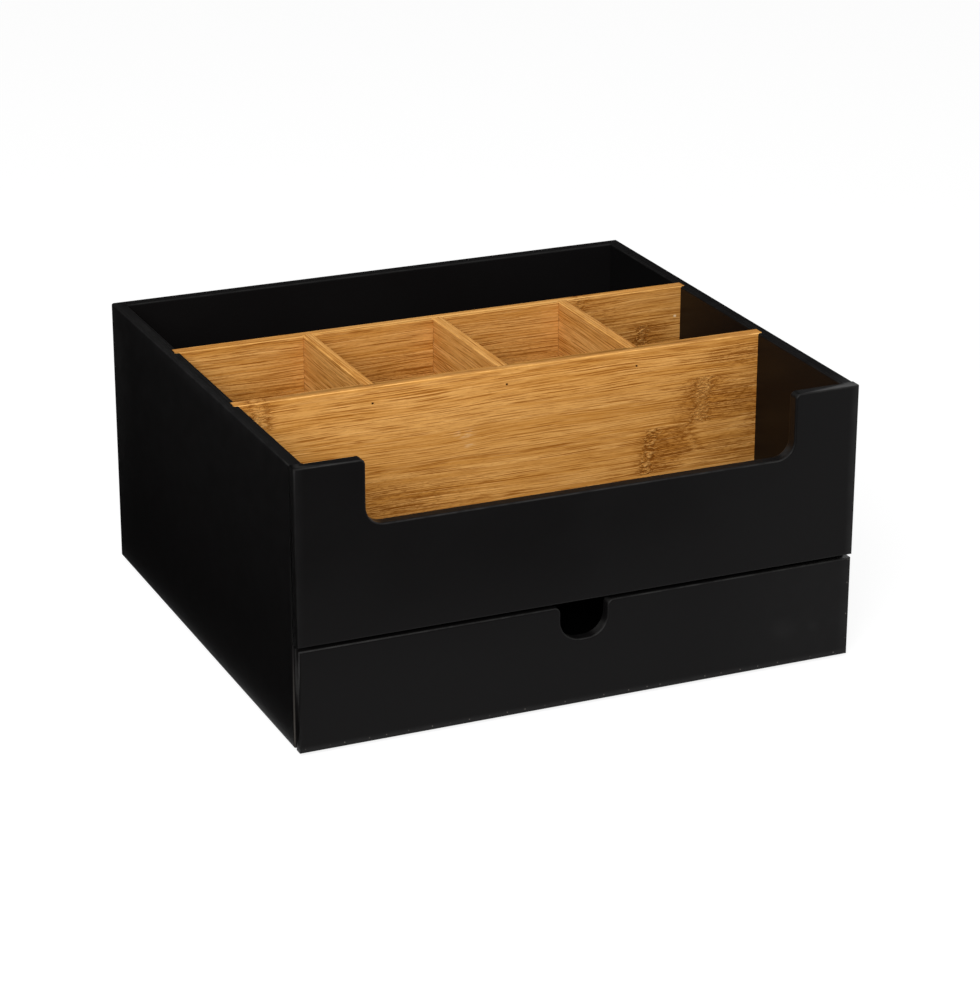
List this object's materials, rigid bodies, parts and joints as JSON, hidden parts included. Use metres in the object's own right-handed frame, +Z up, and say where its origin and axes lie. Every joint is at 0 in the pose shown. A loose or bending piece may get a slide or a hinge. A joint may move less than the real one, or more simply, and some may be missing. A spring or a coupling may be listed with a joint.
{
  "type": "makeup organizer with drawer",
  "caption": "Open desk organizer: a painted case with a wide notch in its front, a lift-out bamboo rack over a tray floor, and a full-width drawer with a finger notch.",
  "frame": {"origin": "under the middle of the organizer, on the surface that it stands on", "axes": "+X along the front to the right, +Y from the front to the back, +Z up"},
  "size_m": [0.26, 0.24, 0.1275],
  "materials": {
    "black_paint": "fibreboard with satin black paint, worn through to pale specks at the corners",
    "bamboo": "laminated bamboo with a thin matt lacquer, narrow strips and darker nodes",
    "pad_foam": "matt black foam",
    "brad_steel": "bright wire"
  },
  "bodies": {
    "case": {"left_side_panel": "black_paint", "right_side_panel": "black_paint", "back_panel": "black_paint", "notched_front_panel": "black_paint", "tray_floor": "black_paint", "base_panel": "black_paint", "foot_pads": "pad_foam", "side_brads": "brad_steel", "front_brads": "brad_steel"},
    "drawer": {"drawer_front": "black_paint", "drawer_left_side": "black_paint", "drawer_right_side": "black_paint", "drawer_back": "black_paint", "drawer_bottom": "black_paint", "drawer_brads": "brad_steel"},
    "rack": {"front_divider": "bamboo", "rear_divider": "bamboo", "cross_divider_left": "bamboo", "cross_divider_middle": "bamboo", "cross_divider_right": "bamboo", "rack_brads": "brad_steel"}
  },
  "joints": [
    {"name": "drawer_slide", "type": "slide", "parent": "case", "child": "drawer", "axis": [0, -1, 0], "range_m": [0, 0.235]},
    {"name": "rack_lift", "type": "slide", "parent": "case", "child": "rack", "axis": [0, 0, 1], "range_m": [0, 0.08]}
  ]
}
